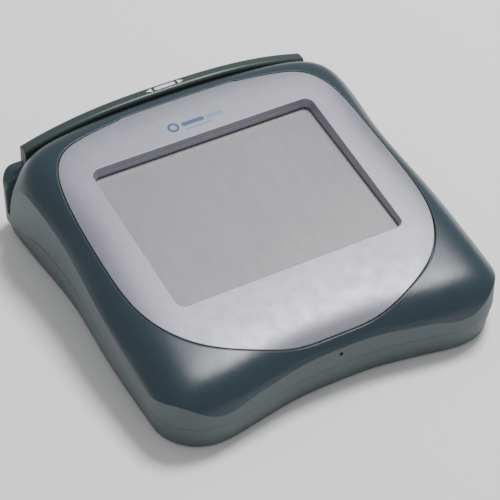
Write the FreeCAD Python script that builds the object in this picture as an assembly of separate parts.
"""Countertop signature and card terminal: a sloped housing with a touch display and a swipe slot.

Frame: millimetres, +Z up, +Y towards the back, +X to the user's right.
The origin is on the table, under the middle of the housing's outline.
"""
import FreeCAD, Part
import math
import os

V = FreeCAD.Vector

# ---- overall body -----------------------------------------------------------
BODY_WIDTH = 181.6          # widest, across the front corners
BODY_LENGTH = 190.0         # front corners to the back wall
FOOT_STAND = 1.0            # feet stand this far out of the base
FRONT_BOW = 7.8             # how far the middle of the front edge is drawn in
FRONT_BOW_SPAN = 45.0
WAIST_DEPTH = 3.1           # how far each side is drawn in
WAIST_Y = 23.0
WAIST_SPAN = 35.0
FRONT_CORNER_R = 26.0
REAR_CORNER_R = 10.0
TUCK = 2.7                  # how far the base is drawn in at the table
TUCK_TOP = 24.0             # height where the sides become upright
WALL = 2.4                  # housing wall
FLOOR = 2.2                 # base floor

# ---- parting line: (from the middle of the body, height) along the side -----
PARTING = ((-110, 13.0), (-57, 16.2), (-7, 19.6), (36, 20.4), (53, 18.8), (64, 14.6),
           (76, 10.3), (90, 8.6), (110, 8.4))
REVEAL = 0.4                # shadow gap between the two housings
LIP_RISE = 1.8              # tongue of the base inside the upper housing
LIP_GAP = 0.15

# ---- display and the top surface -------------------------------------------
PANEL_Y = 3.0               # middle of the touch panel
PANEL_Z = 44.0
PANEL_TILT = 8.0            # degrees
TOP_TILT = 9.0              # degrees, the top surface leans a little more
TOP_RISE = 5.0              # top surface above the panel
SHOULDER_DROP = 12.2        # fall of the top surface at the outline
SHOULDER_SOFT = 6.0         # length over which the fall fades
FRONT_EASE = 2.2            # less fall at the middle of the front
REAR_EDGE_Y = 87.7          # line the top surface falls to at the back
REAR_EDGE_BOW = 4.2
REAR_EDGE_SPAN = 70.0
REAR_CORNER_DROP = 18.0
REAR_CORNER_SOFT = 9.6
WINDOW_WIDTH = 118.0        # at the panel
WINDOW_LENGTH = 90.0
WINDOW_SHIFT = -0.8
WINDOW_FLARE = 2.0          # each side, over the depth of the window
WINDOW_R = 3.0
WINDOW_GAP = 1.2            # under the window's lower edge, above the panel
BEZEL_THICK = 2.4
BEZEL_GROOVE = 0.55
BEZEL_HALF_WIDTH = 79.4
BEZEL_FRONT = 83.0          # from the body's middle line to the bezel's front edge
BEZEL_REAR = 74.2

# ---- display module, tilted with the panel ----------------------------------
SEAL_THICK = 0.6
SEAL_WIDTH = 3.0
TOUCH_WIDTH = 130.0
TOUCH_LENGTH = 102.0
TOUCH_THICK = 2.2
CELL_GAP = 0.3
CELL_MARGIN = 2.0           # display cell inside the touch panel's edge
CELL_THICK = 2.4
GUIDE_THICK = 4.0
FRAME_WALL = 0.8
CARRIER_WALL = 2.0
CARRIER_CLEAR = 0.3
CARRIER_FLOOR = 1.6
EAR = 7.0                   # carrier screw ears
EAR_TOP = -4.5
EAR_THICK = 2.5
POST_R = 3.4                # posts of the upper housing that take the carrier screws
POST_CLEAR = 0.4

# ---- card slot and reader ---------------------------------------------------
SLOT_Y = 82.5               # front wall of the slot
SLOT_WIDTH = 1.5
SLOT_FLOOR_Z = 15.5
GUIDE_WALL_TOP = 35.5       # low wall behind the slot
GUIDE_SHOULDER_R = 8.0
RAIL_HALF = 78.6
RAIL_THICK = 6.5
RAIL_TOP = 58.6
RAIL_END_TOP = 49.3
RAIL_ARCH = 2.6             # exponent of the arch
RAIL_CREST_R = 1.6
RAIL_SCREW_R = 1.1
RAIL_SCREW_HEAD_R = 1.9
LINER_THICK = 0.5
LINER_HEIGHT = 9.0
LINER_INSET = 6.0           # short of the rail's ends
HEAD_Z = 26.0
HEAD_WIDTH = 12.0
HEAD_HEIGHT = 8.0
HEAD_DEPTH = 9.0
HEAD_PROUD = 1.0            # into the slot
HEAD_TRAVEL = 0.6
HEAD_CLEAR = 0.3
SPRING_THICK = 0.3
SPRING_SPAN = 34.0

# ---- boards, jack, button, fasteners ----------------------------------------
BOARD_WIDTH = 128.0
BOARD_LENGTH = 96.0
BOARD_THICK = 1.6
BOARD_Y = -9.0
BOARD_Z = 11.0              # underside of the main board
BOARD_HOLE_INSET = 5.0
STANDOFF_R = 3.2
CONNECTOR_H = 2.6
HEAD_PLUG_H = 5.1
FLEX_THICK = 0.3
SCREW_R = 1.5
SCREW_HEAD_R = 2.8
SCREW_HEAD_H = 1.8
SCREW_CLEAR = 0.15
THREAD_FIT = 0.05           # tapped hole over the screw
INSERT_R = 2.3
INSERT_LEN = 6.0
BOSS_R = 4.2
HOUSING_SCREW_INSET_X = 16.5   # from the side of the body
HOUSING_SCREW_FRONT = 23.0     # from the front of the body
HOUSING_SCREW_REAR = 27.0      # from the back of the body
BOSS_TOP = 16.0
COUNTERBORE_DEPTH = 6.0
FOOT_R = 6.5
FOOT_THICK = 2.2
FOOT_CLEAR = 0.1
FOOT_INSET_X = 30.0
FOOT_INSET_Y = 27.0
PINHOLE_R = 0.9
PINHOLE_DROP = 3.6          # under the edge of the top surface
BUTTON_R = 1.8
BUTTON_LEN = 5.0
BUTTON_TRAVEL = 0.4
BUTTON_FIT = 0.05           # radial, in its guide
BUTTON_GUIDE = 4.5          # length of the guide inside the front wall
SWITCH_SIZE = 6.0
JACK_WIDTH = 15.5
JACK_HEIGHT = 9.0
JACK_DEPTH = 16.0
JACK_MOUTH_W = 12.0
JACK_MOUTH_H = 6.6
JACK_CLEAR = 0.1
JACK_X = 0.0
RECESS_WIDTH = 40.0         # hollow under the back that the cable plugs into
RECESS_LENGTH = 30.0
RECESS_DEPTH = 10.0
RECESS_ROOF = 1.8
CABLE_WAY = 9.0             # notch where the cable leaves
CABLE_WAY_TOP = 7.0
LABEL_W = 62.0
LABEL_L = 38.0
LABEL_T = 0.3
LABEL_Y = -30.0

HALF_W = BODY_WIDTH / 2
HALF_L = BODY_LENGTH / 2
TILT = math.radians(PANEL_TILT)
TOP_SLOPE = math.tan(math.radians(TOP_TILT))
TALL = 90.0                 # taller than anything, for cutting tools
SLOT_BACK_Y = SLOT_Y + SLOT_WIDTH


# ---- small helpers ----------------------------------------------------------
def box(x0, x1, y0, y1, z0, z1):
    return Part.makeBox(x1 - x0, y1 - y0, z1 - z0, V(x0, y0, z0))


def mid_box(width, length, height, x, y, z):
    """Box centred on x and y, standing on z."""
    return box(x - width / 2, x + width / 2, y - length / 2, y + length / 2, z, z + height)


def rod(radius, length, x, y, z, axis=V(0, 0, 1)):
    return Part.makeCylinder(radius, length, V(x, y, z), axis)


def spline(points):
    curve = Part.BSplineCurve()
    curve.interpolate(points)
    return curve.toShape()


def smooth_edge(points, start, end):
    curve = Part.BSplineCurve()
    curve.interpolate(Points=points, InitialTangent=start, FinalTangent=end)
    return curve.toShape()


def fuse(parts):
    return parts[0].multiFuse(parts[1:]).removeSplitter() if len(parts) > 1 else parts[0]


def cut_all(body, tools):
    for tool in tools:
        body = body.cut(tool)
    return body


def rounded_plate(width, length, radius, height, x=0.0, y=0.0, z=0.0):
    """Plate centred on x and y with rounded upright edges."""
    plate = mid_box(width, length, height, x, y, z)
    upright = [e for e in plate.Edges if abs(e.Vertexes[0].Z - e.Vertexes[1].Z) > height / 2]
    return plate.makeFillet(radius, upright)


def in_panel_frame(shape):
    """Moves a shape made on the panel's own axes to its tilted place."""
    moved = shape.copy()
    turn = FreeCAD.Rotation(V(1, 0, 0), PANEL_TILT)
    moved.Placement = FreeCAD.Placement(V(0, PANEL_Y, PANEL_Z), turn).multiply(moved.Placement)
    return moved


# ---- outline of the body ----------------------------------------------------
def half_width(y, inset=0.0):
    return HALF_W - inset - WAIST_DEPTH * math.exp(-((y - WAIST_Y) / WAIST_SPAN) ** 2)


def front_edge(x, inset=0.0):
    """Distance from the middle line to the front edge at x."""
    return HALF_L - inset - FRONT_BOW * math.exp(-(abs(x) / FRONT_BOW_SPAN) ** 3)


def corner(side, radius, inset, front):
    """Arc of one corner, on the front (radius about a centre set in from both sides)."""
    r = radius - inset
    y_sign = -1 if front else 1
    y_mid = y_sign * (HALF_L - inset - r)
    x_mid = side * (half_width(y_mid, inset) - r)
    turn = math.sqrt(0.5)
    on_side = V(x_mid + side * r, y_mid, 0)
    between = V(x_mid + side * r * turn, y_mid + y_sign * r * turn, 0)
    on_end = V(x_mid, y_mid + y_sign * r, 0)
    return on_side, between, on_end


def outline(inset=0.0, z=0.0):
    """Closed outline of the body, drawn in by inset, at height z."""
    right_side, right_mid, right_end = corner(1, FRONT_CORNER_R, inset, True)
    back_side, back_mid, back_end = corner(1, REAR_CORNER_R, inset, False)
    across = [V(x, -front_edge(x, inset), 0) for x in (-50, -38, -25, -12, 0, 12, 25, 38, 50)]
    along = (-50, -25, 0, 20, 40, 60)

    def mirror(p):
        return V(-p.x, p.y, p.z)

    front = smooth_edge([mirror(right_end)] + across + [right_end], V(1, 0, 0), V(1, 0, 0))
    right = smooth_edge([right_side] + [V(half_width(y, inset), y, 0) for y in along]
                        + [back_side], V(0, 1, 0), V(0, 1, 0))
    left = right.mirror(V(0, 0, 0), V(1, 0, 0))
    arcs = [Part.Arc(right_end, right_mid, right_side).toShape(),
            Part.Arc(back_side, back_mid, back_end).toShape(),
            Part.Arc(mirror(right_end), mirror(right_mid), mirror(right_side)).toShape(),
            Part.Arc(mirror(back_side), mirror(back_mid), mirror(back_end)).toShape()]
    back = Part.LineSegment(back_end, mirror(back_end)).toShape()
    wire = Part.Wire(Part.__sortEdges__([front, right, left, back] + arcs))
    wire.translate(V(0, 0, z))
    return wire


def upright_body(inset, z0, z1):
    return Part.Face(outline(inset, z0)).extrude(V(0, 0, z1 - z0))


def tucked_body(inset, z0):
    """Body whose sides curve in towards the table."""
    share = ((0.0, 1.0), (0.25, 0.52), (0.55, 0.17), (0.8, 0.03), (1.0, 0.0))
    base = FOOT_STAND
    rings = []
    for s, tuck in share:
        z = base + s * (TUCK_TOP - base)
        rings.append(outline(inset + tuck * TUCK, z))
    body = Part.makeLoft(rings, True, False)
    return body.common(box(-HALF_W - 9, HALF_W + 9, -HALF_L - 9, HALF_L + 9, z0, TALL))


def below_parting(rise=0.0):
    """Everything under the parting surface, lifted by rise."""
    points = [V(0, y, z + rise) for y, z in PARTING]
    y0, y1 = points[0].y, points[-1].y
    top = spline(points)
    sides = [Part.LineSegment(points[-1], V(0, y1, -9)).toShape(),
             Part.LineSegment(V(0, y1, -9), V(0, y0, -9)).toShape(),
             Part.LineSegment(V(0, y0, -9), points[0]).toShape()]
    face = Part.Face(Part.Wire([top] + sides))
    face.translate(V(-HALF_W - 20, 0, 0))
    return face.extrude(V(BODY_WIDTH + 40, 0, 0))


# ---- top surface ------------------------------------------------------------
def fall(distance, soft):
    """1 on the outline, fading inside it and growing smoothly outside it."""
    share = distance / soft
    if share > 0:
        return math.exp(-share)
    return 1 - share + share ** 2 / 2


def top_height(x, y, inset=0.0):
    to_side = half_width(y, inset) - abs(x)
    to_front = front_edge(x, inset) + y
    to_rear = REAR_EDGE_Y - inset - REAR_EDGE_BOW * (x / REAR_EDGE_SPAN) ** 2 - y
    front_drop = SHOULDER_DROP - FRONT_EASE * math.exp(-(x / FRONT_BOW_SPAN) ** 2)
    drop = SHOULDER_DROP * (fall(to_side, SHOULDER_SOFT) + fall(to_rear, SHOULDER_SOFT))
    drop += front_drop * fall(to_front, SHOULDER_SOFT)
    drop += REAR_CORNER_DROP * fall(to_side + to_rear, REAR_CORNER_SOFT)
    return PANEL_Z + TOP_RISE + (y - PANEL_Y) * TOP_SLOPE - drop - inset


def top_surface(inset, sink):
    """The top surface, drawn in by inset and lowered by sink, wider than the body."""
    steps = 56
    reach_x, reach_y = HALF_W + 7, HALF_L + 7
    grid = []
    for i in range(steps + 1):
        x = -reach_x + 2 * reach_x * i / steps
        row = []
        for j in range(steps + 1):
            y = -reach_y + 2 * reach_y * j / steps
            row.append(V(x, y, top_height(x, y, inset) - sink))
        grid.append(row)
    surface = Part.BSplineSurface()
    surface.interpolate(grid)
    return surface.toShape()


def below_top(inset=0.0, sink=0.0):
    return top_surface(inset, sink).extrude(V(0, 0, -2 * TALL))


def above_top(sink):
    return top_surface(0.0, sink).extrude(V(0, 0, TALL))


def bezel_outline(gap=0.0):
    """Closed outline of the display bezel, widened by gap."""
    w, f, r = BEZEL_HALF_WIDTH + gap, BEZEL_FRONT + gap, BEZEL_REAR + gap
    half = ((0, -f), (28, -f + 1.5), (47.5, -f + 8.5), (w - 19, -f + 17), (w - 10, -f + 27.5),
            (w - 3.2, -f + 42.5), (w, -f + 72), (w - 0.6, PANEL_Y + 17), (w - 2.2, PANEL_Y + 38),
            (w - 6.3, PANEL_Y + 53), (w - 12.5, r - 10.2), (w - 22, r - 5.7), (w - 46, r - 1.2),
            (0, r))
    right = smooth_edge([V(x, y, 0) for x, y in half], V(1, 0, 0), V(-1, 0, 0))
    left = right.mirror(V(0, 0, 0), V(1, 0, 0))
    return Part.Wire(Part.__sortEdges__([right, left]))


def window_tool(width, length, flare, radius, n0, n1):
    """Tapered opening on the panel's axes, from height n0 (narrow) to n1 (wide)."""
    rings = []
    for n, grow in ((n0, 0.0), (n1, flare)):
        plate = rounded_plate(width + 2 * grow, length + 2 * grow, radius + grow, 1.0,
                              0, WINDOW_SHIFT, n)
        lowest = min(plate.Faces, key=lambda f: f.CenterOfMass.z)
        rings.append(lowest.OuterWire)
    return in_panel_frame(Part.makeLoft(rings, True, True))


# ---- places -----------------------------------------------------------------
def pinhole_z():
    return top_height(0, -front_edge(0)) - PINHOLE_DROP


def housing_screw_places():
    x = HALF_W - HOUSING_SCREW_INSET_X
    front = -HALF_L + HOUSING_SCREW_FRONT
    back = HALF_L - HOUSING_SCREW_REAR
    return [(-x, front), (x, front), (-x, back), (x, back)]


def foot_places():
    x = HALF_W - FOOT_INSET_X
    y = HALF_L - FOOT_INSET_Y
    return [(-x, -y), (x, -y), (-x, y), (x, y)]


def board_hole_places():
    x = BOARD_WIDTH / 2 - BOARD_HOLE_INSET
    y = BOARD_LENGTH / 2 - BOARD_HOLE_INSET
    return [(sx * x, BOARD_Y + sy * y) for sx in (-1, 1) for sy in (-1, 1)]


def ear_places():
    """Carrier screw centres on the panel's own axes."""
    x = MODULE_W / 2 + POST_R + POST_CLEAR
    y = TOUCH_LENGTH / 2 - 12
    return [(sx * x, sy * y) for sx in (-1, 1) for sy in (-1, 1)]


MODULE_W = TOUCH_WIDTH + 2 * (CARRIER_CLEAR + CARRIER_WALL)
MODULE_L = TOUCH_LENGTH + 2 * (CARRIER_CLEAR + CARRIER_WALL)
CELL_TOP = -TOUCH_THICK - CELL_GAP
GUIDE_TOP = CELL_TOP - CELL_THICK
FRAME_BOTTOM = GUIDE_TOP - GUIDE_THICK - FRAME_WALL
CARRIER_TOP = SEAL_THICK
RECESS_FRONT_Y = HALF_L - TUCK - 2 * WALL - RECESS_LENGTH
JACK_Z = FOOT_STAND + FLOOR


# ---- housings ---------------------------------------------------------------
def shell_lip(rise, inner, outer):
    ring = upright_body(outer, -5, TALL).cut(upright_body(inner, -6, TALL + 1))
    return ring.common(below_parting(rise))


def lower_housing():
    shell = tucked_body(0.0, FOOT_STAND)
    shell = shell.cut(tucked_body(WALL, FOOT_STAND + FLOOR))
    shell = shell.common(below_parting())
    lip = shell_lip(LIP_RISE, WALL, WALL / 2).cut(below_parting(-1.5))
    parts = [shell, lip]
    for x, y in housing_screw_places():
        parts.append(rod(BOSS_R, BOSS_TOP - FOOT_STAND, x, y, FOOT_STAND))
    for x, y in board_hole_places():
        parts.append(rod(STANDOFF_R, BOARD_Z - FOOT_STAND, x, y, FOOT_STAND))
    half, roof = RECESS_WIDTH / 2, FOOT_STAND + RECESS_DEPTH
    back = RECESS_FRONT_Y + RECESS_LENGTH
    hood = box(JACK_X - half - WALL, JACK_X + half + WALL, RECESS_FRONT_Y - WALL, back + WALL,
               FOOT_STAND, roof + RECESS_ROOF)
    parts.append(hood.common(upright_body(WALL, 0, TALL)))
    body = fuse(parts)
    tools = [box(JACK_X - half, JACK_X + half, RECESS_FRONT_Y, back, -1, roof),
             box(JACK_X - CABLE_WAY / 2, JACK_X + CABLE_WAY / 2, back - 5, HALF_L + 5, -1,
                 CABLE_WAY_TOP),
             box(JACK_X - JACK_WIDTH / 2 - JACK_CLEAR, JACK_X + JACK_WIDTH / 2 + JACK_CLEAR,
                 RECESS_FRONT_Y - WALL - 1, RECESS_FRONT_Y + 1, JACK_Z,
                 JACK_Z + JACK_HEIGHT + JACK_CLEAR)]
    for x, y in housing_screw_places():
        tools.append(rod(SCREW_HEAD_R + 0.4, COUNTERBORE_DEPTH, x, y, FOOT_STAND))
        tools.append(rod(SCREW_R + SCREW_CLEAR, 2 * TALL, x, y, -1))
    for x, y in board_hole_places():
        tools.append(rod(SCREW_R + THREAD_FIT, 6.5, x, y, BOARD_Z - 6))
    for x, y in foot_places():
        tools.append(rod(FOOT_R + FOOT_CLEAR, FOOT_THICK - FOOT_STAND, x, y, FOOT_STAND))
    tools.append(mid_box(LABEL_W + 0.4, LABEL_L + 0.4, LABEL_T, 0, LABEL_Y, FOOT_STAND))
    return cut_all(body, tools)


def guide_wall(inset, z_top):
    """Low wall behind the slot, with rounded shoulders at both ends."""
    x = half_width(HALF_L - REAR_CORNER_R) - inset
    plate = box(-x - 5, x + 5, SLOT_BACK_Y + inset, HALF_L + 5, 0, z_top)
    ends = box(-x, x, SLOT_BACK_Y - 5, HALF_L + 9, -60, z_top)
    top = [e for e in ends.Edges if abs(e.CenterOfMass.z - z_top) < 0.01
           and abs(abs(e.CenterOfMass.x) - x) < 0.01]
    rounded = ends.makeFillet(max(GUIDE_SHOULDER_R - inset, 1.0), top)
    return plate.common(rounded).common(upright_body(inset, -5, TALL))


def upper_solid(inset, sink=0.0):
    """The upper housing in front of the slot as a solid block, drawn in by inset."""
    block = upright_body(inset, -5, TALL)
    block = block.common(box(-HALF_W - 5, HALF_W + 5, -HALF_L - 5, SLOT_Y - inset, -5, TALL))
    return block.common(below_top(inset, sink))


def upper_housing():
    floor = upright_body(0.0, -5, SLOT_FLOOR_Z)
    floor = floor.common(box(-HALF_W, HALF_W, SLOT_Y - WALL, HALF_L + 5, -5, SLOT_FLOOR_Z))
    body = fuse([upper_solid(0.0), floor, guide_wall(0.0, GUIDE_WALL_TOP)])
    body = body.cut(upper_solid(WALL, BEZEL_THICK))
    hollow = guide_wall(WALL, GUIDE_WALL_TOP - WALL)
    body = body.cut(hollow)
    under_slot = upright_body(WALL, -5, SLOT_FLOOR_Z - WALL)
    under_slot = under_slot.common(box(-HALF_W, HALF_W, SLOT_Y - WALL - 1, HALF_L,
                                       -5, SLOT_FLOOR_Z - WALL))
    body = body.cut(under_slot)
    block = upper_solid(1.0)
    parts = [body]
    for x, y in housing_screw_places():
        parts.append(rod(BOSS_R, TALL, x, y, BOSS_TOP).common(block))
    for x, y in ear_places():
        parts.append(in_panel_frame(rod(POST_R, 20, x, y, EAR_TOP)).common(block))
    guide_y = -front_edge(0) + WALL
    parts.append(rod(BUTTON_R + 1.4, BUTTON_GUIDE + 1, 0, guide_y - 1, pinhole_z(), V(0, 1, 0)))
    body = fuse(parts)
    recess = Part.Face(bezel_outline(BEZEL_GROOVE)).extrude(V(0, 0, TALL))
    tools = [recess.common(above_top(BEZEL_THICK))]
    pocket = mid_box(MODULE_W + 1, MODULE_L + 1, 20, 0, 0, SEAL_THICK - 20)
    tools.append(in_panel_frame(pocket))
    tools.append(window_tool(WINDOW_WIDTH + 1.6, WINDOW_LENGTH + 1.6, 0.5, WINDOW_R,
                             -8, TOP_RISE + 6))
    for x, y in ear_places():
        tools.append(in_panel_frame(rod(SCREW_R + THREAD_FIT, 5.4, x, y, EAR_TOP - 1)))
    for x, y in housing_screw_places():
        tools.append(rod(INSERT_R, INSERT_LEN, x, y, BOSS_TOP))
    tools.append(rod(PINHOLE_R, 3 * WALL, 0, -front_edge(0) - WALL, pinhole_z(), V(0, 1, 0)))
    tools.append(rod(BUTTON_R + BUTTON_FIT, 3 * BUTTON_GUIDE, 0, guide_y, pinhole_z(), V(0, 1, 0)))
    w, h = HEAD_WIDTH / 2 + HEAD_CLEAR, HEAD_HEIGHT / 2 + HEAD_CLEAR
    tools.append(box(-w, w, SLOT_Y - 2 * WALL, SLOT_Y + 0.5, HEAD_Z - h, HEAD_Z + h))
    tools.append(below_parting(REVEAL))
    tools.append(shell_lip(LIP_RISE + LIP_GAP, WALL + 1, WALL / 2 - LIP_GAP))
    for x, y in rail_screw_places():
        tools.append(rod(RAIL_SCREW_R + SCREW_CLEAR, TALL, x, y, 0))
    return cut_all(body, tools)


def rail_screw_places():
    y = SLOT_BACK_Y + WALL + RAIL_SCREW_HEAD_R + 0.2
    return [(x, y) for x in (-RAIL_HALF + 9, -RAIL_HALF / 3, RAIL_HALF / 3, RAIL_HALF - 9)]


def display_bezel():
    plate = Part.Face(bezel_outline()).extrude(V(0, 0, TALL))
    plate = plate.common(below_top()).cut(below_top(0.0, BEZEL_THICK))
    lip = rounded_plate(WINDOW_WIDTH + 2 * WINDOW_FLARE, WINDOW_LENGTH + 2 * WINDOW_FLARE, 4.0,
                        8.0, 0, WINDOW_SHIFT, WINDOW_GAP)
    lip = in_panel_frame(lip).common(below_top(0.0, 1.0))
    inner = window_tool(WINDOW_WIDTH, WINDOW_LENGTH, WINDOW_FLARE, WINDOW_R,
                        WINDOW_GAP - 0.01, TOP_RISE + 1.5)
    guard = window_tool(WINDOW_WIDTH + 1.2, WINDOW_LENGTH + 1.2, 0.5, WINDOW_R, -8,
                        TOP_RISE + 6)
    return fuse([plate, lip.common(guard)]).cut(inner)


# ---- display module ---------------------------------------------------------
def touch_seal():
    ring = rounded_plate(TOUCH_WIDTH, TOUCH_LENGTH, 2.0, SEAL_THICK)
    hole = rounded_plate(TOUCH_WIDTH - 2 * SEAL_WIDTH, TOUCH_LENGTH - 2 * SEAL_WIDTH, 2.0,
                         SEAL_THICK)
    return in_panel_frame(ring.cut(hole))


def touch_panel():
    plate = rounded_plate(TOUCH_WIDTH, TOUCH_LENGTH, 2.0, TOUCH_THICK, 0, 0, -TOUCH_THICK)
    return in_panel_frame(plate)


def lcd_cell():
    glass = mid_box(TOUCH_WIDTH - 2 * CELL_MARGIN, TOUCH_LENGTH - 2 * CELL_MARGIN, CELL_THICK,
                    0, 0, CELL_TOP - CELL_THICK)
    return in_panel_frame(glass)


def lcd_frame():
    """Folded steel tray that holds the cell and the light guide together."""
    w, l = TOUCH_WIDTH - 2 * CELL_MARGIN, TOUCH_LENGTH - 2 * CELL_MARGIN
    grow = 2 * (FRAME_WALL + 0.1)
    height = CELL_TOP - FRAME_BOTTOM
    tray = rounded_plate(w + grow, l + grow, 1.0, height, 0, 0, FRAME_BOTTOM)
    inside = mid_box(w + 0.2, l + 0.2, height, 0, 0, FRAME_BOTTOM + FRAME_WALL)
    slots = [mid_box(18, 5, 3 * FRAME_WALL, x, y, FRAME_BOTTOM - FRAME_WALL)
             for x in (-36, 0, 36) for y in (-30, 30)]
    return in_panel_frame(tray.cut([inside] + slots))


def backlight_guide():
    w, l = TOUCH_WIDTH - 2 * CELL_MARGIN, TOUCH_LENGTH - 2 * CELL_MARGIN
    plate = mid_box(w - 0.4, l - 8, GUIDE_THICK, 0, -3.5, GUIDE_TOP - GUIDE_THICK)
    return in_panel_frame(plate)


def backlight_lamp():
    length = TOUCH_WIDTH - 2 * CELL_MARGIN - 6
    y = TOUCH_LENGTH / 2 - CELL_MARGIN - 3.6
    z = GUIDE_TOP - GUIDE_THICK / 2
    tube = rod(1.3, length, -length / 2, y, z, V(1, 0, 0))
    ends = [mid_box(5, 3.6, 3.6, s * (length / 2 - 1.5), y, z - 1.8) for s in (-1, 1)]
    return in_panel_frame(fuse([tube] + ends))


def display_carrier():
    """Moulded tray under the display, with four screw ears."""
    bottom = FRAME_BOTTOM - CARRIER_FLOOR
    height = CARRIER_TOP - bottom
    tray = rounded_plate(MODULE_W, MODULE_L, 2.5, height, 0, 0, bottom)
    inside = mid_box(TOUCH_WIDTH + 2 * CARRIER_CLEAR, TOUCH_LENGTH + 2 * CARRIER_CLEAR, height,
                     0, 0, -TOUCH_THICK - CELL_GAP)
    lower = mid_box(TOUCH_WIDTH - 2 * CELL_MARGIN + 2 * FRAME_WALL + 0.4,
                    TOUCH_LENGTH - 2 * CELL_MARGIN + 2 * FRAME_WALL + 0.4, height,
                    0, 0, FRAME_BOTTOM)
    ears = [mid_box(EAR + 2, EAR, EAR_THICK, x - math.copysign(1.0, x), y, EAR_TOP - EAR_THICK)
            for x, y in ear_places()]
    tray = fuse([tray] + ears)
    windows = [mid_box(34, 26, 3 * CARRIER_FLOOR, x, y, bottom - CARRIER_FLOOR)
               for x in (-40, 0, 40) for y in (-18, 18)]
    holes = [rod(SCREW_R + SCREW_CLEAR, 2 * EAR_THICK, x, y, EAR_TOP - 1.5 * EAR_THICK)
             for x, y in ear_places()]
    flex_way = box(MODULE_W / 2 - 6, MODULE_W / 2 + 1, -12, 12, bottom - 1, -TOUCH_THICK)
    cell_way = box(-26, 26, -MODULE_L / 2 - 1, -MODULE_L / 2 + 5.5, bottom - 1, CELL_TOP - 1)
    return in_panel_frame(tray.cut([inside, lower, flex_way, cell_way] + windows + holes))


def pan_screw(length, radius=SCREW_R, head_radius=SCREW_HEAD_R):
    """Pan head screw pointing up, its head's underside at z = 0."""
    head = rod(head_radius, SCREW_HEAD_H, 0, 0, -SCREW_HEAD_H)
    rim = [e for e in head.Edges if abs(e.CenterOfMass.z + SCREW_HEAD_H) < 0.01 and e.Closed]
    head = head.makeFillet(SCREW_HEAD_H / 3, rim)
    cross = [mid_box(head_radius, 0.7, 1.0, 0, 0, -SCREW_HEAD_H - 0.1),
             mid_box(0.7, head_radius, 1.0, 0, 0, -SCREW_HEAD_H - 0.1)]
    shank = rod(radius, length, 0, 0, 0)
    return head.fuse(shank).removeSplitter().cut(cross)


def at_places(shape, places, z):
    copies = []
    for x, y in places:
        copy = shape.copy()
        copy.translate(V(x, y, z))
        copies.append(copy)
    return Part.makeCompound(copies)


def carrier_screws():
    screw = pan_screw(EAR_THICK + 4.2)
    screws = at_places(screw, ear_places(), EAR_TOP - EAR_THICK)
    return Part.makeCompound([in_panel_frame(s) for s in screws.Solids])


def ribbon(points, width, thick, axis_x=True):
    """Flat cable: a bent strip through points in its own plane, width across it."""
    edges = []
    for (a0, b0), (a1, b1) in zip(points[:-1], points[1:]):
        run = math.hypot(a1 - a0, b1 - b0)
        strip = Part.makeBox(run + thick, width, thick, V(-thick / 2, -width / 2, -thick / 2))
        strip.rotate(V(0, 0, 0), V(0, 1, 0), -math.degrees(math.atan2(b1 - b0, a1 - a0)))
        strip.translate(V(a0, 0, b0))
        edges.append(strip)
    band = fuse(edges)
    if not axis_x:
        band.rotate(V(0, 0, 0), V(0, 0, 1), 90)
    return band


def touch_flex():
    x0 = TOUCH_WIDTH / 2 - 0.5
    start = PANEL_Z - TOUCH_THICK - 1.2
    top = BOARD_Z + BOARD_THICK + CONNECTOR_H + 0.2
    band = ribbon(((x0, start), (x0, top + 8), (BOARD_WIDTH / 2 - 9, top)), 12, FLEX_THICK)
    band.translate(V(0, PANEL_Y, 0))
    return band


def lcd_flex():
    """From the cell's front edge down to the front of the main board."""
    y0 = PANEL_Y - (MODULE_L / 2 - 4.0) * math.cos(TILT)
    start = PANEL_Z - (MODULE_L / 2) * math.sin(TILT) + GUIDE_TOP - 0.4
    top = BOARD_Z + BOARD_THICK + CONNECTOR_H + 0.2
    return ribbon(((y0, start), (y0, top + 5), (y0 + 7, top)), 44, FLEX_THICK, False)


# ---- boards -----------------------------------------------------------------
def board_top():
    return BOARD_Z + BOARD_THICK


def main_board():
    plate = rounded_plate(BOARD_WIDTH, BOARD_LENGTH, 3.0, BOARD_THICK, 0, BOARD_Y, BOARD_Z)
    holes = [rod(SCREW_R + SCREW_CLEAR, 9, x, y, BOARD_Z - 3) for x, y in board_hole_places()]
    return plate.cut(holes)


def board_screws():
    screw = pan_screw(BOARD_THICK + 3.5)
    screw.rotate(V(0, 0, 0), V(1, 0, 0), 180)
    return at_places(screw, board_hole_places(), board_top())


def processor():
    chip = mid_box(22, 22, 1.6, -8, BOARD_Y + 6, board_top())
    upright = [e for e in chip.Edges if abs(e.Vertexes[0].Z - e.Vertexes[1].Z) > 1]
    return chip.makeChamfer(0.6, upright)


def memory_chips():
    chips = [mid_box(12, 18, 1.1, x, BOARD_Y + 8, board_top()) for x in (16, 32)]
    chips.append(mid_box(16, 10, 1.1, -31, BOARD_Y - 4, board_top()))
    return Part.makeCompound(chips)


def shield_can():
    x, y, h, t = -38, BOARD_Y + 18, 4.0, 0.4
    can = rounded_plate(26, 30, 1.0, h, x, y, board_top())
    hollow = mid_box(26 - 2 * t, 30 - 2 * t, h, x, y, board_top() - t)
    vents = [rod(0.9, 3, x + i * 5, y + j * 5, board_top() + h - 1.5)
             for i in (-1, 0, 1) for j in (-2, -1, 0, 1, 2)]
    return can.cut([hollow] + vents)


def head_plug_y():
    return BOARD_Y + BOARD_LENGTH / 2 - 6


def board_connectors():
    x = BOARD_WIDTH / 2 - 9
    y = PANEL_Y - (MODULE_L / 2 - 4.0) * math.cos(TILT) + 7
    parts = [mid_box(6, 16, CONNECTOR_H, x + 1.5, PANEL_Y, board_top()),
             mid_box(48, 5.5, CONNECTOR_H, 0, y + 1.5, board_top()),
             mid_box(14, 5.5, HEAD_PLUG_H, 24, head_plug_y(), board_top())]
    return Part.makeCompound(parts)


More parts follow.
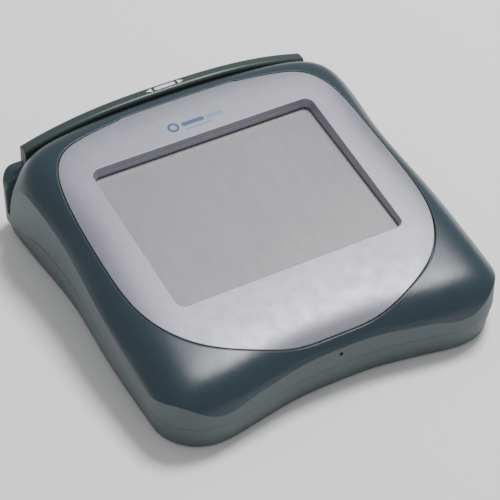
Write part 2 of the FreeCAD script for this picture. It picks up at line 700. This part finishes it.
def inverter_parts():
    """Lamp transformer and its smoothing capacitors."""
    core = mid_box(16, 12, 6.0, 46, BOARD_Y + 30, board_top())
    coil = rod(3.4, 13, 39.5, BOARD_Y + 30, board_top() + 3.6, V(1, 0, 0))
    cans = [rod(3.1, 6.5, x, BOARD_Y - 30, board_top()) for x in (38, 46)]
    return Part.makeCompound([core.fuse(coil)] + cans)


def cell_holder():
    ring = rod(11.6, 3.4, -46, BOARD_Y - 26, board_top())
    ring = ring.cut([rod(10.1, 3, -46, BOARD_Y - 26, board_top() + 0.8),
                     box(-60, -52, BOARD_Y - 30, BOARD_Y - 22, board_top() + 0.8, 40)])
    return ring


def backup_cell():
    cell = rod(10.0, 2.5, -46, BOARD_Y - 26, board_top() + 0.8)
    rim = [e for e in cell.Edges if e.Closed and e.CenterOfMass.z > board_top() + 3]
    return cell.makeFillet(0.5, rim)


def buzzer():
    can = rod(6.0, 5.5, 20, BOARD_Y - 18, board_top())
    return can.cut(rod(1.2, 2, 20, BOARD_Y - 18, board_top() + 4.2))


def interface_jack():
    """Modular socket whose mouth faces the hollow under the back."""
    y1 = RECESS_FRONT_Y
    half = JACK_MOUTH_W / 2
    rim = (JACK_HEIGHT - JACK_MOUTH_H) / 2
    body = box(JACK_X - JACK_WIDTH / 2, JACK_X + JACK_WIDTH / 2, y1 - JACK_DEPTH, y1,
               JACK_Z, JACK_Z + JACK_HEIGHT)
    mouth = box(JACK_X - half, JACK_X + half, y1 - JACK_DEPTH + 2, y1 + 1,
                JACK_Z + rim, JACK_Z + rim + JACK_MOUTH_H)
    key = box(JACK_X - 3, JACK_X + 3, y1 - JACK_DEPTH + 2, y1 + 1, JACK_Z + rim - 0.8,
              JACK_Z + rim + 1)
    return body.cut([mouth, key])


def jack_board():
    """Small upright board that the socket is soldered to."""
    y1 = RECESS_FRONT_Y - JACK_DEPTH
    return box(JACK_X - 12, JACK_X + 12, y1 - BOARD_THICK, y1, JACK_Z + 0.3, JACK_Z + 15)


def jack_harness():
    """Flat lead from the socket's board to the main board."""
    y1 = RECESS_FRONT_Y - JACK_DEPTH - BOARD_THICK - 0.6
    z1 = board_top() + 0.7
    return ribbon(((y1, z1 + 3), (y1 - 4, z1 + 5), (y1 - 9, z1)), 16, 0.8, False)


# ---- reset button -----------------------------------------------------------
def button_y():
    return -front_edge(0) + WALL + 0.2


def reset_button():
    """Plunger behind the pinhole: a guided flange and a thinner stem."""
    y, z = button_y(), pinhole_z()
    flange = rod(BUTTON_R, BUTTON_GUIDE - 1, 0, y, z, V(0, 1, 0))
    stem = rod(BUTTON_R * 0.7, BUTTON_LEN, 0, y, z, V(0, 1, 0))
    return flange.fuse(stem).removeSplitter()


def reset_switch():
    """Side-acting switch on its own small board standing on the floor."""
    y, z = button_y() + BUTTON_LEN + BUTTON_TRAVEL + 0.1, pinhole_z()
    case = mid_box(SWITCH_SIZE, 3.4, SWITCH_SIZE, 0, y + 1.7, z - SWITCH_SIZE / 2)
    plate = box(-SWITCH_SIZE, SWITCH_SIZE, y + 3.4, y + 4.6, FOOT_STAND + FLOOR, z + 5)
    return case.fuse(plate).removeSplitter()


# ---- card slot --------------------------------------------------------------
def rail_top(x):
    share = min(abs(x) / RAIL_HALF, 1.0)
    return RAIL_TOP - (RAIL_TOP - RAIL_END_TOP) * share ** RAIL_ARCH


def swipe_rail():
    steps = 6
    xs = [RAIL_HALF * i / steps for i in range(-steps, steps + 1)]
    arch = spline([V(x, 0, rail_top(x)) for x in xs])
    low = GUIDE_WALL_TOP
    corners = [V(RAIL_HALF, 0, rail_top(RAIL_HALF)), V(RAIL_HALF, 0, low),
               V(-RAIL_HALF, 0, low), V(-RAIL_HALF, 0, rail_top(RAIL_HALF))]
    sides = [Part.LineSegment(a, b).toShape() for a, b in zip(corners[:-1], corners[1:])]
    face = Part.Face(Part.Wire([arch] + sides))
    face.translate(V(0, SLOT_BACK_Y, 0))
    bar = face.extrude(V(0, RAIL_THICK, 0))
    crest = [e for e in bar.Edges if e.Length > RAIL_HALF and e.CenterOfMass.z > low + 5]
    bar = bar.makeFillet(RAIL_CREST_R, crest)
    seat = box(-RAIL_HALF + LINER_INSET, RAIL_HALF - LINER_INSET, SLOT_BACK_Y - 1,
               SLOT_BACK_Y + LINER_THICK, low - 1, low + LINER_HEIGHT)
    holes = [rod(RAIL_SCREW_R + THREAD_FIT, 9, x, y, low - 1) for x, y in rail_screw_places()]
    return bar.cut([seat] + holes)


def slot_liner():
    """Steel wear strip on the rail, level with its face."""
    x = RAIL_HALF - LINER_INSET - 0.1
    return box(-x, x, SLOT_BACK_Y, SLOT_BACK_Y + LINER_THICK,
               GUIDE_WALL_TOP, GUIDE_WALL_TOP + LINER_HEIGHT - 0.1)


def rail_screws():
    top = GUIDE_WALL_TOP - WALL
    screw = pan_screw(WALL + 5.5, RAIL_SCREW_R, RAIL_SCREW_HEAD_R)
    return at_places(screw, rail_screw_places(), top)


def reader_head():
    y1 = SLOT_Y + HEAD_PROUD
    body = box(-HEAD_WIDTH / 2, HEAD_WIDTH / 2, y1 - HEAD_DEPTH, y1,
               HEAD_Z - HEAD_HEIGHT / 2, HEAD_Z + HEAD_HEIGHT / 2)
    front = [e for e in body.Edges if abs(e.CenterOfMass.y - y1) < 0.01
             and abs(abs(e.CenterOfMass.x) - HEAD_WIDTH / 2) < 0.01]
    return body.makeFillet(3.0, front)


def head_spring():
    """Leaf spring on the head's back, its tips over the bracket's posts."""
    y = SLOT_Y + HEAD_PROUD - HEAD_DEPTH
    leaf = box(-SPRING_SPAN / 2, SPRING_SPAN / 2, y - SPRING_THICK, y, HEAD_Z - 2.5, HEAD_Z + 2.5)
    return leaf.cut([box(s * 11 - 2.5, s * 11 + 2.5, y - 1, y + 1, HEAD_Z - 1, HEAD_Z + 1)
                     for s in (-1, 1)])


def head_bracket():
    """Frame that carries the spring's tips, standing on the slot's front wall."""
    wall_y = SLOT_Y - WALL
    leaf_y = SLOT_Y + HEAD_PROUD - HEAD_DEPTH
    posts = [box(s * (SPRING_SPAN / 2 - 1.5) - 3, s * (SPRING_SPAN / 2 - 1.5) + 3,
                 leaf_y + 0.1, wall_y, HEAD_Z - 5, HEAD_Z + 5) for s in (-1, 1)]
    bars = [box(-SPRING_SPAN / 2, SPRING_SPAN / 2, wall_y - 1.2, wall_y, z, z + 2)
            for z in (HEAD_Z + HEAD_HEIGHT / 2 + 0.8, HEAD_Z - HEAD_HEIGHT / 2 - 2.8)]
    return fuse(posts + bars)


def head_cable():
    y0 = SLOT_Y + HEAD_PROUD - HEAD_DEPTH - SPRING_THICK - HEAD_TRAVEL - 0.6
    z1 = board_top() + HEAD_PLUG_H + 0.6
    band = ribbon(((y0 - 0.5, HEAD_Z), (y0 - 5, z1 + 4), (head_plug_y(), z1)), 8, 0.6, False)
    band.translate(V(24, 0, 0))
    bridge = box(-4, 28, y0 - 0.8, y0 - 0.2, HEAD_Z - 2, HEAD_Z + 2)
    return band.fuse(bridge)


# ---- fasteners and feet -----------------------------------------------------
def housing_screws():
    base = FOOT_STAND + COUNTERBORE_DEPTH
    return at_places(pan_screw(BOSS_TOP - base + INSERT_LEN - 0.5), housing_screw_places(), base)


def threaded_inserts():
    ring = rod(INSERT_R, INSERT_LEN, 0, 0, 0).cut(rod(SCREW_R + THREAD_FIT, INSERT_LEN, 0, 0, 0))
    return at_places(ring, housing_screw_places(), BOSS_TOP)


def rubber_feet():
    foot = rod(FOOT_R, FOOT_THICK, 0, 0, 0)
    rim = [e for e in foot.Edges if e.Closed and e.CenterOfMass.z < 0.01]
    return at_places(foot.makeFillet(0.4, rim), foot_places(), 0)


def rating_label():
    return rounded_plate(LABEL_W, LABEL_L, 2.0, LABEL_T, 0, LABEL_Y, FOOT_STAND)


NODES = (lower_housing, upper_housing, display_bezel, touch_seal, touch_panel, touch_flex,
         lcd_cell, lcd_frame, backlight_guide, backlight_lamp, lcd_flex, display_carrier,
         carrier_screws, main_board, processor, memory_chips, shield_can, board_connectors,
         inverter_parts, cell_holder, backup_cell, buzzer, board_screws, interface_jack,
         jack_board, jack_harness, reset_button, reset_switch, swipe_rail, slot_liner,
         rail_screws, reader_head, head_spring, head_bracket, head_cable, housing_screws,
         threaded_inserts, rubber_feet, rating_label)


def main():
    os.makedirs("parts", exist_ok=True)
    for make in NODES:
        shape = make()
        solids = len(shape.Solids)
        shape.exportStep("parts/" + make.__name__ + ".step")
        print(make.__name__, "solids", solids, "volume", round(shape.Volume),
              "valid", shape.isValid())


if __name__ == "__main__":
    main()
